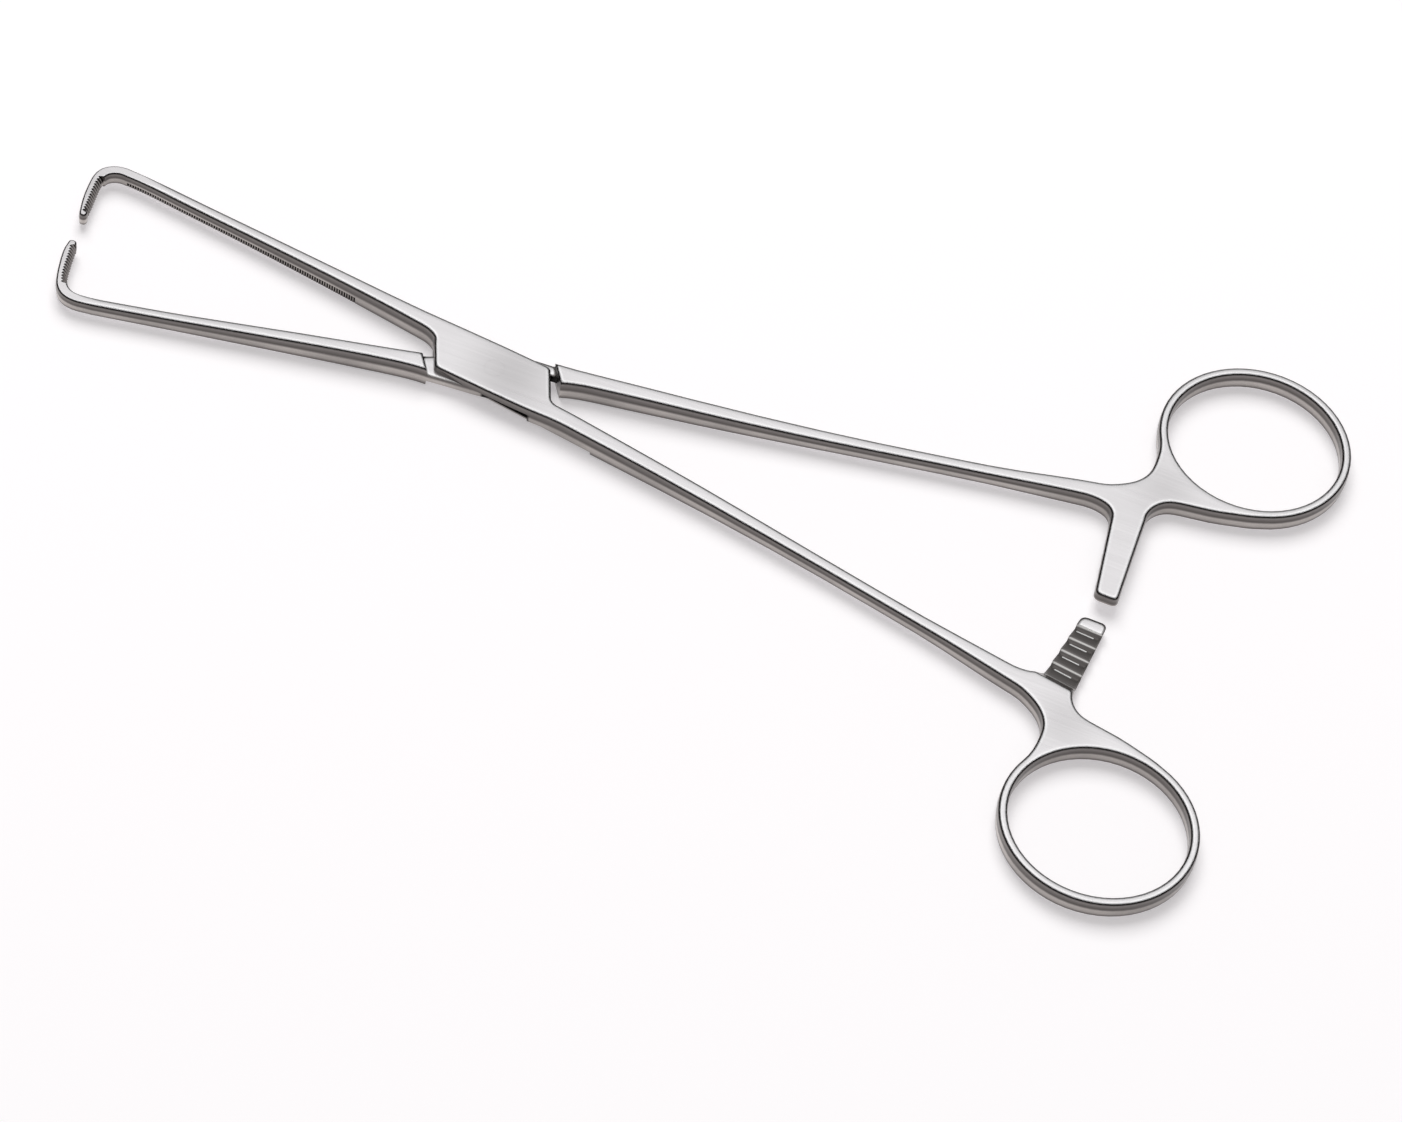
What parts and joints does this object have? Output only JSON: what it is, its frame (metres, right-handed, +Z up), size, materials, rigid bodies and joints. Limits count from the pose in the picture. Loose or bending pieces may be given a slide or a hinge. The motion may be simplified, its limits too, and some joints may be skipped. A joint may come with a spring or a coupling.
{
  "type": "tenaculum forceps",
  "caption": "Box-lock grasping forceps with long arms, inward-hooked serrated jaws, a ratchet between the handles and oval finger rings.",
  "frame": {"origin": "on the pivot axis, in the plane of the underside of the box lock, which is the face the forceps rests on", "axes": "+X from the lock towards the finger rings, +Y across towards the finger ring of the through arm, +Z up along the pivot axis"},
  "size_m": [0.2048, 0.1078, 0.004],
  "materials": {
    "arm_steel": "satin polished stainless steel",
    "pin_steel": "ground flush, satin polished stainless steel"
  },
  "bodies": {
    "box_arm": {"box_arm": "arm_steel", "pivot_pin": "pin_steel"},
    "through_arm": {"through_arm": "arm_steel"}
  },
  "joints": [
    {"name": "lock_pivot", "type": "hinge", "parent": "box_arm", "child": "through_arm", "pos_m": [0, 0, 0], "axis": [0, 0, 1], "range_deg": [-4, 110]}
  ]
}
